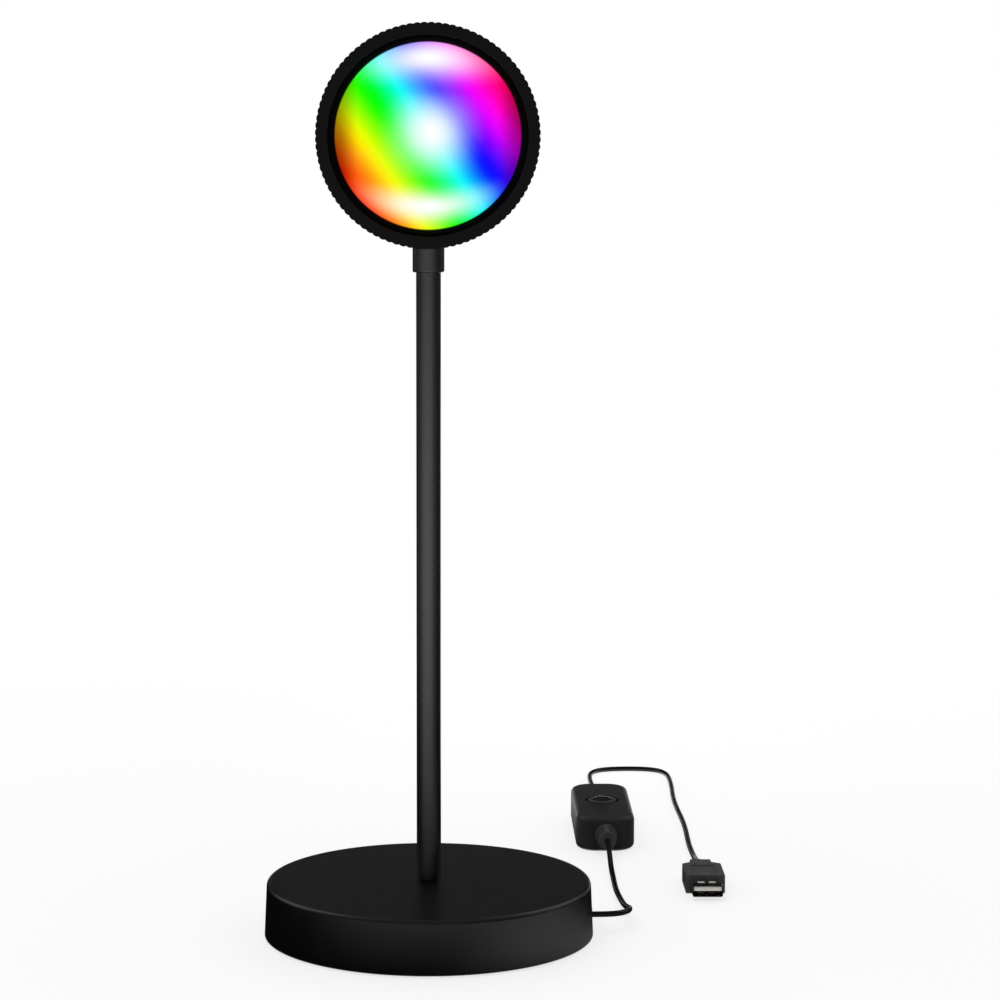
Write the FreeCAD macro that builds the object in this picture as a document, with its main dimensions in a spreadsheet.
"""Sunset projection lamp: round weighted base, slim column, tilting lens head, cord with switch and plug.

Millimetres. The origin is the centre of the base on the table, +Z is up and the lens faces -Y.
Every size stands in the sheet "Sizes"; the sub-parts take theirs from it by expression.
"""
import FreeCAD, Part
import functools
import math
import os
import re
import Sketcher

os.makedirs("parts", exist_ok=True)
doc = FreeCAD.newDocument("sunset_lamp")
Vector = FreeCAD.Vector
Placement = FreeCAD.Placement
Rotation = FreeCAD.Rotation
X_AXIS, Y_AXIS, Z_AXIS = Vector(1, 0, 0), Vector(0, 1, 0), Vector(0, 0, 1)

# ---------------------------------------------------------------- sizes
SIZES = [
    # base
    ("base_radius", 62.2, "base housing at its lower rim"),
    ("base_flare", 0.9, "how far the top edge stands in from the lower rim"),
    ("base_top_radius", "=base_radius - base_flare", "base housing at its top edge"),
    ("base_top", 21.0, "top face above the table"),
    ("base_rim_up", 0.8, "lower rim above the table"),
    ("base_wall", 1.5, "wall of the base housing"),
    ("base_edge_round", 1.6, "rounding of the top edge"),
    ("pad_inset", 4.2, "foot ring in from the lower rim"),
    ("pad_radius", "=base_radius - pad_inset", "outside of the rubber foot ring"),
    ("pad_wide", 12.0, "width of the foot ring"),
    ("pad_inner_radius", "=pad_radius - pad_wide", "inside of the rubber foot ring"),
    ("pad_thick", 1.6, "thickness of the foot ring"),
    ("plate_thick", 1.6, "thickness of the base plate"),
    ("plate_gap", 0.4, "base plate to housing wall, at the rim"),
    ("boss_inset", 22.2, "plate screws in from the lower rim"),
    ("boss_circle", "=base_radius - boss_inset", "radius on which the plate screws stand"),
    ("boss_radius", 3.6, "screw boss in the base"),
    ("boss_pilot", 1.25, "radius of the pilot hole in a boss"),
    ("boss_pilot_deep", 9.0, "depth of the pilot hole"),
    ("weight_inset", 10.2, "counterweight in from the lower rim"),
    ("weight_radius", "=base_radius - weight_inset", "cast counterweight"),
    ("weight_thick", 7.5, "cast counterweight"),
    ("weight_gap", 0.6, "counterweight to screw boss"),
    ("weight_edge", 1.0, "bevel of the casting"),
    ("grommet_neck", 2.6, "radius of the grommet in the wall"),
    ("grommet_flange", 4.1, "radius of the flange inside the wall"),
    ("grommet_seat_gap", 0.2, "flange to the sloping wall"),
    ("grommet_flange_thick", 1.2, "flange inside the wall"),
    ("clamp_inset", 18.2, "cord clamp in from the lower rim"),
    ("clamp_from_axis", "=base_radius - clamp_inset", "cord clamp, distance from the column's axis"),
    ("clamp_wide", 6.0, "cord clamp, along the cord"),
    ("clamp_half_long", 9.0, "cord clamp, half its length across the cord"),
    ("clamp_foot_thick", 1.2, "foot of the cord clamp"),
    ("clamp_roof", 1.0, "clamp over the cord"),
    ("clamp_screw_out", 6.2, "clamp screw, sideways from the cord"),
    # fasteners
    ("plate_screw_radius", 1.2, "shank of a plate screw"),
    ("plate_screw_long", 8.0, "shank of a plate screw"),
    ("plate_screw_head", 2.6, "head radius"),
    ("plate_screw_head_thick", 1.1, "head height"),
    ("small_screw_radius", 0.85, "shank of the small screws"),
    ("small_screw_head", 1.6, "head radius of the small screws"),
    ("small_screw_head_thick", 0.8, "head height of the small screws"),
    ("screw_gap", 0.1, "screw shank to its hole"),
    # cord
    ("cord_radius", 1.1, "round two-core cord"),
    ("cord_exit_up", 7.5, "cord exit above the table"),
    ("cord_gap", 0.06, "cord to the bore of a gland"),
    # column
    ("column_radius", 4.6, "column tube outside"),
    ("column_wall", 0.9, "wall of the column tube"),
    ("column_bore", "=column_radius - column_wall", "column tube inside"),
    ("column_top", 254.0, "top end of the column tube"),
    ("slip_gap", 0.05, "stud and spigot in the tube"),
    ("stud_bore", 2.25, "wire way through the stud"),
    ("stud_out", 0.5, "stud below its nut"),
    ("stud_in_tube", 12.0, "length of the stud in the tube"),
    ("stud_nut_flats", 11.0, "nut across flats"),
    ("stud_nut_thick", 4.0, "nut"),
    ("stud_washer_radius", 6.8, "washer"),
    ("stud_washer_thick", 0.8, "washer"),
    # swivel
    ("spigot_in_tube", 14.0, "length of the spigot in the tube"),
    ("spigot_flange_thick", 0.6, "flange on the tube's end"),
    ("spigot_neck", 3.1, "neck that the collar turns on"),
    ("spigot_above", 4.2, "spigot above the tube's end"),
    ("spigot_top", "=column_top + spigot_above", "top end of the spigot"),
    ("spigot_bore", 1.7, "wire way through the spigot"),
    ("turn_gap", 0.06, "running clearance of the swivel and the tilt pivot"),
    ("clip_groove_deep", 0.5, "depth of the groove for the retaining ring"),
    ("clip_groove", "=spigot_neck - clip_groove_deep", "groove radius for the retaining ring"),
    ("clip_side_gap", 0.55, "retaining ring to the collar's bore"),
    ("clip_radius", "=collar_bore - clip_side_gap", "retaining ring outside"),
    ("clip_thick", 0.6, "retaining ring"),
    ("clip_mouth", 3.4, "gap of the retaining ring"),
    ("thrust_washer_thick", 0.4, "washer under the retaining ring"),
    ("thrust_washer_side_gap", 0.25, "washer to the collar's bore"),
    ("thrust_washer_radius", "=collar_bore - thrust_washer_side_gap", "washer under the retaining ring"),
    ("stop_pin_radius", 0.38, "pin that limits the turn"),
    ("stop_pin_in", 0.6, "stop pin in from the tube's outside"),
    ("stop_pin_circle", "=column_radius - stop_pin_in", "radius on which the stop pin stands"),
    ("stop_pin_high", 1.35, "height of the stop pin"),
    ("stop_groove_deep", 0.9, "groove for the stop pin"),
    ("stop_groove_sweep", "348 deg", "sweep of the stop groove"),
    ("collar_wall", 1.15, "wall of the collar"),
    ("collar_radius", "=collar_bore + collar_wall", "collar outside"),
    ("collar_skirt", 3.5, "collar below the tube's end"),
    ("collar_low", "=column_top - collar_skirt", "lower edge of the collar"),
    ("collar_gap", 0.15, "collar to the tube"),
    ("collar_bore", "=column_radius + collar_gap", "collar over the tube's end"),
    ("collar_floor_thick", 1.5, "floor that turns on the spigot"),
    ("collar_round", 0.5, "rounding of the lower edge"),
    ("fork_floor_above", 5.3, "bottom of the ears' gap above the tube's end"),
    ("fork_floor", "=column_top + fork_floor_above", "bottom of the gap between the ears"),
    ("fork_half_gap", 4.0, "half the gap between the ears"),
    ("ear_radius", 4.5, "rounding of the ears about the pivot"),
    # tilt pivot
    ("pivot_floor_gap", 0.3, "knuckle above the bottom of the ears' gap"),
    ("pivot_up", "=fork_floor + knuckle_radius + pivot_floor_gap", "tilt axis above the table"),
    ("pivot_screw_radius", 1.2, "shank of a pivot screw"),
    ("pivot_screw_head", 2.0, "head radius"),
    ("pivot_screw_head_thick", 1.0, "head height"),
    ("washer_room", 0.3, "knuckle to ear, for the friction washer"),
    ("knuckle_half_wide", "=fork_half_gap - washer_room", "outer face of the knuckle's cheeks"),
    ("knuckle_half_slot", 1.5, "wire slot between the cheeks"),
    ("knuckle_radius", 3.4, "rounding of the cheeks about the pivot"),
    ("saddle_gap", 1.7, "saddle above the ears"),
    ("saddle_low", "=pivot_up + ear_radius + saddle_gap", "underside of the saddle"),
    ("saddle_thick", 1.3, "saddle under the middle of the barrel"),
    ("saddle_half_wide", 9.0, "saddle across"),
    ("saddle_half_long", 5.4, "saddle front to back"),
    ("saddle_round", 2.4, "corners of the saddle"),
    ("saddle_screw_out", 6.6, "saddle screw from the middle"),
    ("saddle_screw_long", 5.2, "saddle screw below the head"),
    ("pivot_washer_radius", 3.3, "friction washer"),
    # head, measured along the optical axis from the tilt plane, forwards
    ("head_up", "=saddle_low + saddle_thick + barrel_radius", "optical axis above the table"),
    ("bezel_front", 29.0, "front face of the bezel"),
    ("bezel_deep", 12.0, "length of the bezel ring"),
    ("bezel_wall", 3.0, "wall of the bezel ring"),
    ("bezel_radius", "=barrel_rim + thread_gap + bezel_wall", "bezel over the teeth"),
    ("bezel_teeth", 96, "teeth round the bezel"),
    ("tooth_deep", 0.42, "depth of a tooth"),
    ("bezel_overlap", 1.3, "lip over the barrel's rim"),
    ("bezel_opening", "=barrel_rim - bezel_overlap", "opening of the bezel's lip"),
    ("bezel_lip", 2.0, "thickness of the lip"),
    ("bezel_edge", 0.5, "rounding of the bezel's edges"),
    ("barrel_rim", 37.4, "front rim of the barrel, where the bezel screws on"),
    ("thread_gap", 0.1, "bezel to barrel rim"),
    ("retainer_wide", 3.5, "width of the lens retaining ring"),
    ("retainer_opening", "=barrel_rim - retainer_wide", "opening of the lens retaining ring"),
    ("retainer_thick", 2.3, "lens retaining ring"),
    ("stack_gap", 0.05, "axial play between the pieces of the lens stack"),
    ("lens_gap", 0.3, "dome of the lens to its retaining ring"),
    ("lens_radius", "=retainer_opening - lens_gap", "dome of the lens"),
    ("lens_sagitta", 9.0, "height of the dome"),
    ("lens_flange_thick", 2.0, "flange of the lens"),
    ("gasket_thick", 0.5, "lens gasket"),
    ("gasket_wide", 2.1, "width of the lens gasket"),
    ("gasket_opening", "=barrel_rim - gasket_wide", "lens gasket inside"),
    ("filter_wall", 2.15, "rim of the barrel round the filter"),
    ("filter_seat", "=barrel_rim - filter_wall", "bore of the barrel for the filter"),
    ("filter_seat_deep", 3.0, "depth of the filter seat"),
    ("filter_thick", 1.1, "colour filter"),
    ("filter_ring_thick", 1.3, "ring that holds the filter"),
    ("filter_ring_wide", 1.65, "width of the ring that holds the filter"),
    ("filter_ring_opening", "=filter_seat - filter_ring_wide", "ring that holds the filter"),
    ("barrel_radius", 30.0, "rear barrel outside"),
    ("barrel_wall", 2.0, "barrel wall"),
    ("barrel_back", 14.0, "rear end of the barrel behind the tilt plane"),
    ("barrel_step_back", 8.0, "rear end of the shoulder"),
    ("barrel_step_front", 14.0, "front end of the shoulder"),
    ("filter_ledge", 1.85, "ledge that the filter lies on"),
    ("barrel_front_bore", "=filter_seat - filter_ledge", "bore in front of the reflector"),
    ("wire_hole", 1.9, "wire hole in the barrel"),
    ("sink_screw_from_end", 2.5, "radial screws from the barrel's rear end"),
    ("sink_screw_back", "=barrel_back - sink_screw_from_end", "radial screws behind the tilt plane"),
    ("sink_screw_radius", 1.0, "radial screws"),
    ("sink_screw_long", 5.6, "radial screws"),
    ("board_back", 8.0, "front face of the light board behind the tilt plane"),
    ("board_thick", 1.6, "light board"),
    ("board_radius", 12.0, "light board"),
    ("board_screw_out", 9.8, "light board screws from the middle"),
    ("board_screw_long", 6.0, "light board screws"),
    ("chip_side", 7.0, "light chip"),
    ("chip_thick", 1.0, "light chip"),
    ("reflector_small", 5.3, "reflector at the chip"),
    ("reflector_rim", 3.4, "flat rim of the reflector"),
    ("reflector_large", "=barrel_front_bore - reflector_rim", "reflector at its mouth"),
    ("reflector_wall", 1.0, "reflector"),
    ("sink_plug_gap", 0.1, "heat sink to the barrel's bore"),
    ("sink_flange_thick", 2.4, "flange of the heat sink"),
    ("sink_core", 13.0, "core of the heat sink"),
    ("fin_inset", 0.4, "cooling fins in from the barrel's outside"),
    ("fin_radius", "=barrel_radius - fin_inset", "cooling fins"),
    ("fin_thick", 1.3, "cooling fins"),
    ("fin_pitch", 3.0, "cooling fins"),
    ("fin_count", 4, "cooling fins"),
    # inline switch, lying along Y
    ("switch_x", 74.0, "middle of the switch, sideways"),
    ("switch_y", 167.0, "middle of the switch, back"),
    ("switch_wide", 24.8, "switch case"),
    ("switch_long", 69.4, "switch case"),
    ("switch_high", 15.0, "switch case"),
    ("switch_wall", 1.6, "switch case"),
    ("switch_corner", 9.0, "corners of the case seen from above"),
    ("switch_edge", 2.6, "rounding of the case's long edges"),
    ("case_gap", 0.04, "between the two halves"),
    ("case_boss", 2.4, "screw bosses in the case"),
    ("case_boss_x", 7.6, "screw bosses sideways"),
    ("case_boss_y", 26.0, "screw bosses lengthways"),
    ("case_screw_long", 9.0, "case screws"),
    ("case_sink", 2.0, "counterbore radius for a screw head"),
    ("case_sink_deep", 1.1, "counterbore depth"),
    ("relief_neck", 3.1, "relief in the case's end wall"),
    ("relief_flange", 4.4, "relief inside the wall"),
    ("relief_flange_thick", 1.3, "relief inside the wall"),
    ("relief_large", 4.75, "relief at the case"),
    ("relief_small", 3.8, "relief at the cord"),
    ("relief_long", 11.3, "relief outside the case"),
    ("relief_slot", 1.6, "slots of the relief"),
    ("relief_slot_first", 2.9, "first slot from the case"),
    ("relief_slot_pitch", 2.8, "from slot to slot"),
    ("relief_spine", 1.0, "half the spine between the slots"),
    ("ring_radius", 7.3, "black ring round the button"),
    ("ring_drop", 0.5, "ring below the case's top"),
    ("ring_flange", 8.6, "flange of the ring inside the case"),
    ("ring_flange_thick", 0.9, "flange of the ring inside the case"),
    ("button_radius", 6.15, "push button"),
    ("button_gap", 0.09, "button in its ring"),
    ("button_proud", 0.3, "button above the case"),
    ("button_flange", 7.6, "flange that keeps the button in"),
    ("button_flange_thick", 0.9, "flange that keeps the button in"),
    ("button_travel", 1.2, "stroke of the button"),
    ("dome_radius", 4.45, "glossy dome in the button"),
    ("dome_high", 1.2, "height of the dome"),
    ("dome_seat", 0.8, "depth of the dome's seat"),
    ("plunger_radius", 1.6, "plunger of the push switch"),
    ("plunger_long", 4.4, "plunger of the push switch"),
    ("push_side", 8.4, "push switch body"),
    ("push_high", 5.0, "push switch body"),
    ("push_bore_spare", 0.3, "bore below the pressed plunger"),
    ("pcb_wide", 17.0, "circuit board in the switch"),
    ("pcb_long", 38.0, "circuit board in the switch"),
    ("pcb_thick", 1.2, "circuit board in the switch"),
    ("push_gap", 1.9, "button at rest above the push switch"),
    ("pcb_post_radius", 1.5, "posts under the board"),
    # USB plug, tip towards -Y
    ("plug_x", 110.0, "middle of the plug, sideways"),
    ("plug_y", 61.0, "front face of the overmould"),
    ("plug_thick", 8.0, "overmould"),
    ("plug_wide", 15.7, "overmould"),
    ("plug_body_long", 18.9, "overmould"),
    ("plug_shoulder_long", 2.6, "overmould"),
    ("plug_neck_wide", 8.5, "overmould neck"),
    ("plug_neck_long", 4.4, "overmould neck"),
    ("plug_edge", 0.7, "rounding of the overmould"),
    ("panel_wide", 9.4, "grip panel"),
    ("panel_long", 11.8, "grip panel"),
    ("panel_from_front", 3.6, "grip panel"),
    ("panel_deep", 0.4, "grip panel"),
    ("dimple_radius", 0.55, "moulding dimples"),
    ("dimple_out", 2.65, "moulding dimples sideways"),
    ("dimple_back", 17.2, "moulding dimples from the front face"),
    ("shell_wide", 12.0, "standard plug shell"),
    ("shell_high", 4.5, "standard plug shell"),
    ("shell_long", 12.0, "shell in front of the overmould"),
    ("shell_wall", 0.3, "shell sheet"),
    ("window_wide", 2.8, "latch windows"),
    ("window_long", 2.3, "latch windows"),
    ("window_out", 2.2, "latch windows from the middle"),
    ("window_front", 6.0, "latch windows from the overmould"),
    ("tongue_thick", 1.84, "contact carrier"),
    ("tongue_gap", 0.06, "contact carrier to the shell"),
    ("tongue_long", 11.4, "contact carrier"),
    ("contact_wide", 1.0, "contacts"),
    ("contact_thick", 0.2, "contacts"),
    ("contact_pitch", 2.25, "contacts"),
    ("contact_long", 8.2, "contacts"),
    ("plug_relief_large", 3.2, "relief at the plug"),
    ("plug_relief_small", 2.7, "relief at the cord"),
    ("plug_relief_long", 5.4, "relief at the plug"),
]

sheet = doc.addObject("Spreadsheet::Sheet", "Sizes")
WORK_CELL = "Z1"
for row, (alias, value, meaning) in enumerate(SIZES, start=1):
    sheet.set(f"A{row}", meaning)
    sheet.set(f"B{row}", str(value))
    sheet.setAlias(f"B{row}", alias)
doc.recompute()
ALIASES = {alias for alias, _, _ in SIZES}


def bound(expression):
    """The expression with every size written as a cell of the sheet."""
    return re.sub(r"[a-z]\w*", lambda m: "Sizes." + m[0] if m[0] in ALIASES else m[0], str(expression))


@functools.cache
def number(expression):
    """What an expression of sizes comes to."""
    sheet.set(WORK_CELL, "=" + str(expression))
    sheet.recompute()
    return float(sheet.get(WORK_CELL))


# ---------------------------------------------------------------- helpers
nodes = []


def node(thing, label):
    """Keep a finished sub-part for the export under its own name."""
    thing.Label = label
    nodes.append(thing)
    return thing


def placed(thing, across="0", back="0", up="0", turn=None):
    """Stand a sub-part in the lamp's frame."""
    thing.Placement = Placement(Vector(0, 0, 0), turn or Rotation())
    thing.setExpression(".Placement.Base.x", bound(across))
    thing.setExpression(".Placement.Base.y", bound(back))
    thing.setExpression(".Placement.Base.z", bound(up))
    return thing


def origin_plane(body, role):
    """One of a body's own origin planes or axes."""
    return next(item for item in body.Origin.OriginFeatures if item.Role == role)


def new_sketch(body, role, up="0"):
    """A sketch on an origin plane of its body, or parallel to it at a height."""
    sketch = body.newObject("Sketcher::SketchObject", body.Name + "_sketch")
    sketch.AttachmentSupport = [(origin_plane(body, role), "")]
    sketch.MapMode = "FlatFace"
    if up != "0":
        sketch.setExpression(".AttachmentOffset.Base.z", bound(up))
    return sketch


def hold(sketch, kind, *where, size):
    """A dimension of a sketch, bound to the sheet."""
    index = sketch.addConstraint(Sketcher.Constraint(kind, *where, number(size)))
    sketch.setExpression(f"Constraints[{index}]", bound(size))


def add_loop(sketch, corners):
    """A closed run of lines through corners (across, up) or, rounded, (across, up, radius)."""
    first = sketch.GeometryCount
    points = [Vector(number(corner[0]), number(corner[1]), 0) for corner in corners]
    count = len(points)
    for index in range(count):
        sketch.addGeometry(Part.LineSegment(points[index], points[(index + 1) % count]), False)
    for index in range(count):
        following = first + (index + 1) % count
        sketch.addConstraint(Sketcher.Constraint("Coincident", first + index, 2, following, 1))
    for index, corner in enumerate(corners):
        hold(sketch, "DistanceX", -1, 1, first + index, 1, size=corner[0])
        hold(sketch, "DistanceY", -1, 1, first + index, 1, size=corner[1])
    for index, corner in enumerate(corners):
        if len(corner) == 3:
            arc = sketch.GeometryCount
            sketch.fillet(first + index, 1, number(corner[2]), 1, True)
            hold(sketch, "Radius", arc, size=corner[2])


def add_circle(sketch, across, up, radius):
    """A circle held by its middle and radius."""
    index = sketch.GeometryCount
    centre = Vector(number(across), number(up), 0)
    sketch.addGeometry(Part.Circle(centre, Z_AXIS, number(radius)), False)
    hold(sketch, "DistanceX", -1, 1, index, 3, size=across)
    hold(sketch, "DistanceY", -1, 1, index, 3, size=up)
    hold(sketch, "Radius", index, size=radius)


def new_body(name):
    """An empty body."""
    return doc.addObject("PartDesign::Body", name + "_body")


def turn(body, *corners):
    """Turn a profile (radius, height) about the body's Z axis."""
    sketch = new_sketch(body, "XZ_Plane")
    add_loop(sketch, corners)
    feature = body.newObject("PartDesign::Revolution", body.Name + "_turn")
    feature.Profile = sketch
    feature.ReferenceAxis = (sketch, ["V_Axis"])
    feature.Angle = 360
    return feature


def pad(body, sketch, length, both_sides=False):
    """Pad a sketch along its normal, or half to each side."""
    feature = body.newObject("PartDesign::Pad", body.Name + "_pad")
    feature.Profile = sketch
    feature.setExpression("Length", bound(length))
    feature.Midplane = both_sides
    return feature


def pocket(body, sketch, length, forwards=False, both_sides=False):
    """Cut a sketch out, against its normal, along it (forwards) or half to each side."""
    feature = body.newObject("PartDesign::Pocket", body.Name + "_pocket")
    feature.Profile = sketch
    feature.setExpression("Length", bound(length))
    feature.Reversed = forwards
    feature.Midplane = both_sides
    return feature


def around(body, features, count):
    """Repeat features round the body's Z axis."""
    pattern = body.newObject("PartDesign::PolarPattern", body.Name + "_around")
    pattern.Originals = features
    pattern.Axis = (origin_plane(body, "Z_Axis"), [""])
    pattern.Angle = 360
    pattern.setExpression("Occurrences", bound(count))
    body.Tip = pattern
    return pattern


def rounded(body, base, chosen, radius):
    """Round the edges of a feature whose ends all pass a test."""
    base.recompute(True)
    names = [
        f"Edge{index}"
        for index, edge in enumerate(base.Shape.Edges, start=1)
        if all(chosen(vertex.Point) for vertex in edge.Vertexes)
    ]
    feature = body.newObject("PartDesign::Fillet", body.Name + "_round")
    feature.Base = (base, names)
    feature.setExpression("Radius", bound(radius))
    return feature


def turned(name, *corners):
    """A sub-part that is only turned."""
    body = new_body(name)
    turn(body, *corners)
    return body


def ring(inner, outer, low, high):
    """The profile of a plain ring."""
    return [(inner, low), (outer, low), (outer, high), (inner, high)]


def screw(name, radius, long, head, head_thick):
    """A pan-head screw: seat of the head at Z 0, shank down to -long."""
    return turned(
        name,
        ("0", f"-({long})"), (radius, f"-({long})"), (radius, "0"), (head, "0"),
        (head, head_thick, f"0.45*{head_thick}"), ("0", head_thick),
    )


def copies(name, master, places):
    """Identical pieces of one node: copies of a master at their places."""
    links = []
    for index, place in enumerate(places):
        link = doc.addObject("App::Link", f"{name}_{index}")
        link.LinkedObject = master
        link.Placement = place
        links.append(link)
    group = doc.addObject("Part::Compound", name + "_group")
    group.Links = links
    return node(group, name)


def combined(kind, name, base, tool):
    """A boolean of two objects: kind is Cut, Fuse or Common."""
    result = doc.addObject("Part::" + kind, name + "_" + kind.lower())
    result.Base = base
    result.Tool = tool
    return result


ON_SIDE = Rotation(Y_AXIS, 90)  # a body's +Z becomes +X
FACING_FRONT = Rotation(X_AXIS, 90)  # a body's +Z becomes -Y
FACING_BACK = Rotation(X_AXIS, -90)  # a body's +Z becomes +Y

# ---------------------------------------------------------------- base
PLATE_LOW = "pad_thick"
PLATE_TOP = "pad_thick + plate_thick"
SHELL_UNDER = "base_top - base_wall"
STUD_HOLE = "column_bore + slip_gap"
FLARE = "base_flare/(base_top - base_rim_up)"
WALL_OUT = f"base_radius - {FLARE}*(cord_exit_up - base_rim_up)"

base_shell = new_body("base_shell")
turn(
    base_shell,
    ("base_radius", "base_rim_up"),
    ("base_top_radius", "base_top", "base_edge_round"),
    (STUD_HOLE, "base_top"),
    (STUD_HOLE, SHELL_UNDER),
    ("base_top_radius - base_wall", SHELL_UNDER, "0.5"),
    ("base_radius - base_wall", "base_rim_up"),
)
boss_sketch = new_sketch(base_shell, "XY_Plane", up=PLATE_TOP)
add_circle(boss_sketch, "-boss_circle", "0", "boss_radius")
boss = pad(base_shell, boss_sketch, f"{SHELL_UNDER} - ({PLATE_TOP}) + base_wall/2")
pilot_sketch = new_sketch(base_shell, "XY_Plane", up=PLATE_TOP)
add_circle(pilot_sketch, "-boss_circle", "0", "boss_pilot")
pilot = pocket(base_shell, pilot_sketch, "boss_pilot_deep", forwards=True)
around(base_shell, [boss, pilot], "3")
exit_sketch = new_sketch(base_shell, "YZ_Plane")
add_circle(exit_sketch, "0", "cord_exit_up", "grommet_neck + slip_gap")
pocket(base_shell, exit_sketch, "base_radius + base_wall", forwards=True)
node(base_shell, "base_shell")

counterweight = new_body("counterweight")
turn(
    counterweight,
    (STUD_HOLE, f"{SHELL_UNDER} - weight_thick"),
    ("weight_radius", f"{SHELL_UNDER} - weight_thick", "weight_edge"),
    ("weight_radius", SHELL_UNDER, "weight_edge"),
    (STUD_HOLE, SHELL_UNDER),
)
relief_sketch = new_sketch(counterweight, "XY_Plane", up=SHELL_UNDER)
add_circle(relief_sketch, "-boss_circle", "0", "boss_radius + weight_gap")
boss_hole = pocket(counterweight, relief_sketch, "weight_thick + 1")
around(counterweight, [boss_hole], "3")
node(counterweight, "counterweight")

base_plate = new_body("base_plate")
turn(base_plate, *ring("stud_bore", "base_radius - base_wall - plate_gap", PLATE_LOW, PLATE_TOP))
plate_hole_sketch = new_sketch(base_plate, "XY_Plane", up=PLATE_TOP)
add_circle(plate_hole_sketch, "-boss_circle", "0", "plate_screw_radius + 3*screw_gap")
plate_hole = pocket(base_plate, plate_hole_sketch, "plate_thick + 1")
around(base_plate, [plate_hole], "3")
clamp_hole_sketch = new_sketch(base_plate, "XY_Plane", up=PLATE_TOP)
for side in ("clamp_screw_out", "-clamp_screw_out"):
    add_circle(clamp_hole_sketch, "clamp_from_axis", side, "small_screw_radius + screw_gap/2")
pocket(base_plate, clamp_hole_sketch, "plate_thick + 1")
node(base_plate, "base_plate")

plate_screw = screw(
    "plate_screw", "plate_screw_radius", "plate_screw_long", "plate_screw_head", "plate_screw_head_thick"
)
boss_circle = number("boss_circle")
copies("plate_screws", plate_screw, [
    Placement(
        Vector(boss_circle * math.cos(angle), boss_circle * math.sin(angle), number(PLATE_LOW)),
        Rotation(X_AXIS, 180),
    )
    for angle in (math.pi, math.pi / 3, -math.pi / 3)
])

node(turned("foot_pad", *ring("pad_inner_radius", "pad_radius", "0", "pad_thick")), "foot_pad")

# The grommet lies along X in the wall, flush with the outside.
GROMMET_SEAT = f"{WALL_OUT} - base_wall - {FLARE}*grommet_flange - grommet_seat_gap"
cord_grommet = turned(
    "cord_grommet",
    ("cord_radius + cord_gap", f"{GROMMET_SEAT} - grommet_flange_thick"),
    ("grommet_flange", f"{GROMMET_SEAT} - grommet_flange_thick"),
    ("grommet_flange", GROMMET_SEAT),
    ("grommet_neck", GROMMET_SEAT),
    ("grommet_neck", WALL_OUT, "0.4"),
    ("cord_radius + cord_gap", WALL_OUT),
)
node(placed(cord_grommet, up="cord_exit_up", turn=ON_SIDE), "cord_grommet")

# A saddle clamp holds the cord down on the plate.
LEAD_LOW = f"{PLATE_TOP} + cord_radius + cord_gap"
CHANNEL = "cord_radius + cord_gap"
CHANNEL_TOP = "2*cord_radius + 2*cord_gap"
cord_clamp = new_body("cord_clamp")
clamp_sketch = new_sketch(cord_clamp, "YZ_Plane", up="clamp_from_axis - clamp_wide/2")
add_loop(clamp_sketch, [
    ("-clamp_half_long", PLATE_TOP),
    ("-clamp_half_long", f"{PLATE_TOP} + clamp_foot_thick"),
    (f"-{CHANNEL} - 1.6*clamp_roof", f"{PLATE_TOP} + clamp_foot_thick"),
    (f"-{CHANNEL} - clamp_roof", f"{PLATE_TOP} + {CHANNEL_TOP} + clamp_roof"),
    (f"{CHANNEL} + clamp_roof", f"{PLATE_TOP} + {CHANNEL_TOP} + clamp_roof"),
    (f"{CHANNEL} + 1.6*clamp_roof", f"{PLATE_TOP} + clamp_foot_thick"),
    ("clamp_half_long", f"{PLATE_TOP} + clamp_foot_thick"),
    ("clamp_half_long", PLATE_TOP),
    (CHANNEL, PLATE_TOP),
    (CHANNEL, f"{PLATE_TOP} + {CHANNEL_TOP}"),
    (f"-({CHANNEL})", f"{PLATE_TOP} + {CHANNEL_TOP}"),
    (f"-({CHANNEL})", PLATE_TOP),
])
pad(cord_clamp, clamp_sketch, "clamp_wide")
clamp_screw_sketch = new_sketch(cord_clamp, "XY_Plane", up=f"{PLATE_TOP} + clamp_foot_thick")
for side in ("clamp_screw_out", "-clamp_screw_out"):
    add_circle(clamp_screw_sketch, "clamp_from_axis", side, "small_screw_radius + screw_gap")
pocket(cord_clamp, clamp_screw_sketch, "clamp_foot_thick + 1")
node(cord_clamp, "cord_clamp")

clamp_screw = screw(
    "clamp_screw", "small_screw_radius", "clamp_foot_thick + plate_thick",
    "small_screw_head", "small_screw_head_thick",
)
clamp_seat = Vector(number("clamp_from_axis"), 0, number(f"{PLATE_TOP} + clamp_foot_thick"))
copies("clamp_screws", clamp_screw, [
    Placement(clamp_seat + Y_AXIS * side * number("clamp_screw_out"), Rotation()) for side in (-1, 1)
])

# ---------------------------------------------------------------- column
STUD_RADIUS = "column_bore - slip_gap"
WEIGHT_LOW = f"{SHELL_UNDER} - weight_thick"
NUT_TOP = f"{WEIGHT_LOW} - stud_washer_thick"
STUD_LOW = f"{NUT_TOP} - stud_nut_thick - stud_out"
node(
    turned("column_stud", *ring("stud_bore", STUD_RADIUS, STUD_LOW, "base_top + stud_in_tube")),
    "column_stud",
)
node(
    turned(
        "stud_washer",
        *ring(STUD_HOLE, "stud_washer_radius", NUT_TOP, WEIGHT_LOW),
    ),
    "stud_washer",
)
stud_nut = new_body("stud_nut")
nut_sketch = new_sketch(stud_nut, "XY_Plane", up=f"{NUT_TOP} - stud_nut_thick")
add_loop(nut_sketch, [
    (f"stud_nut_flats/sqrt(3)*cos({angle})", f"stud_nut_flats/sqrt(3)*sin({angle})")
    for angle in range(0, 360, 60)
])
add_circle(nut_sketch, "0", "0", STUD_HOLE)
pad(stud_nut, nut_sketch, "stud_nut_thick")
node(stud_nut, "stud_nut")

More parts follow.
